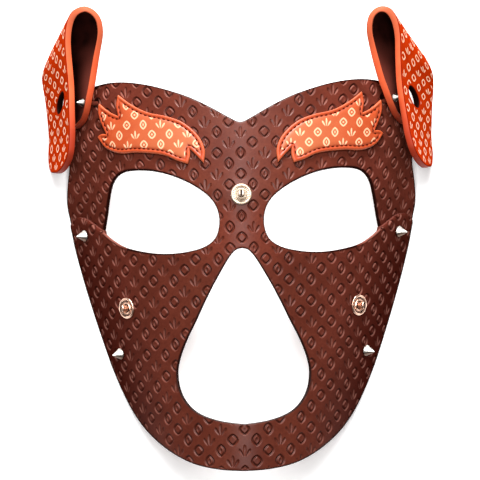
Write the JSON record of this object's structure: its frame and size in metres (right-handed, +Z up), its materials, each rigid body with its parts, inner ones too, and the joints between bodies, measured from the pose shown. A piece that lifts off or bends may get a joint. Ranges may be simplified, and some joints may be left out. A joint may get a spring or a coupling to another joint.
{
  "type": "fox mask",
  "caption": "Wrapped leather fox face mask with open eyes and open muzzle, looped ears, stitched brow pieces, cone studs and press-stud posts.",
  "frame": {"origin": "centre of the outline on the surface that the mask lies on", "axes": "+X to the right and +Y up the face as seen from the front, +Z up, the mask lying face up on its rim"},
  "size_m": [0.2362, 0.2834, 0.0831],
  "materials": {
    "mask_leather": "satin embossed brown leather",
    "brow_leather": "satin orange leather with a pale print and dark stitching",
    "ear_leather": "satin orange leather with a pale print outside, dark brown inside",
    "stud_metal": "polished silvery metal",
    "bridge_snap_metal": "pale gold plated metal",
    "cheek_snap_metal": "rose gold plated metal"
  },
  "bodies": {
    "root": {"mask_shell": "mask_leather", "brow_left": "brow_leather", "brow_right": "brow_leather", "ear_left": "ear_leather", "ear_right": "ear_leather", "stud_cheek_upper_left": "stud_metal", "screw_cheek_upper_left": "stud_metal", "stud_cheek_upper_right": "stud_metal", "screw_cheek_upper_right": "stud_metal", "stud_cheek_lower_left": "stud_metal", "screw_cheek_lower_left": "stud_metal", "stud_cheek_lower_right": "stud_metal", "screw_cheek_lower_right": "stud_metal", "stud_ear_left": "stud_metal", "screw_ear_left": "stud_metal", "stud_ear_right": "stud_metal", "screw_ear_right": "stud_metal", "snap_post_bridge": "bridge_snap_metal", "snap_cap_bridge": "bridge_snap_metal", "snap_post_cheek_left": "cheek_snap_metal", "snap_cap_cheek_left": "cheek_snap_metal", "snap_post_cheek_right": "cheek_snap_metal", "snap_cap_cheek_right": "cheek_snap_metal"}
  },
  "joints": []
}
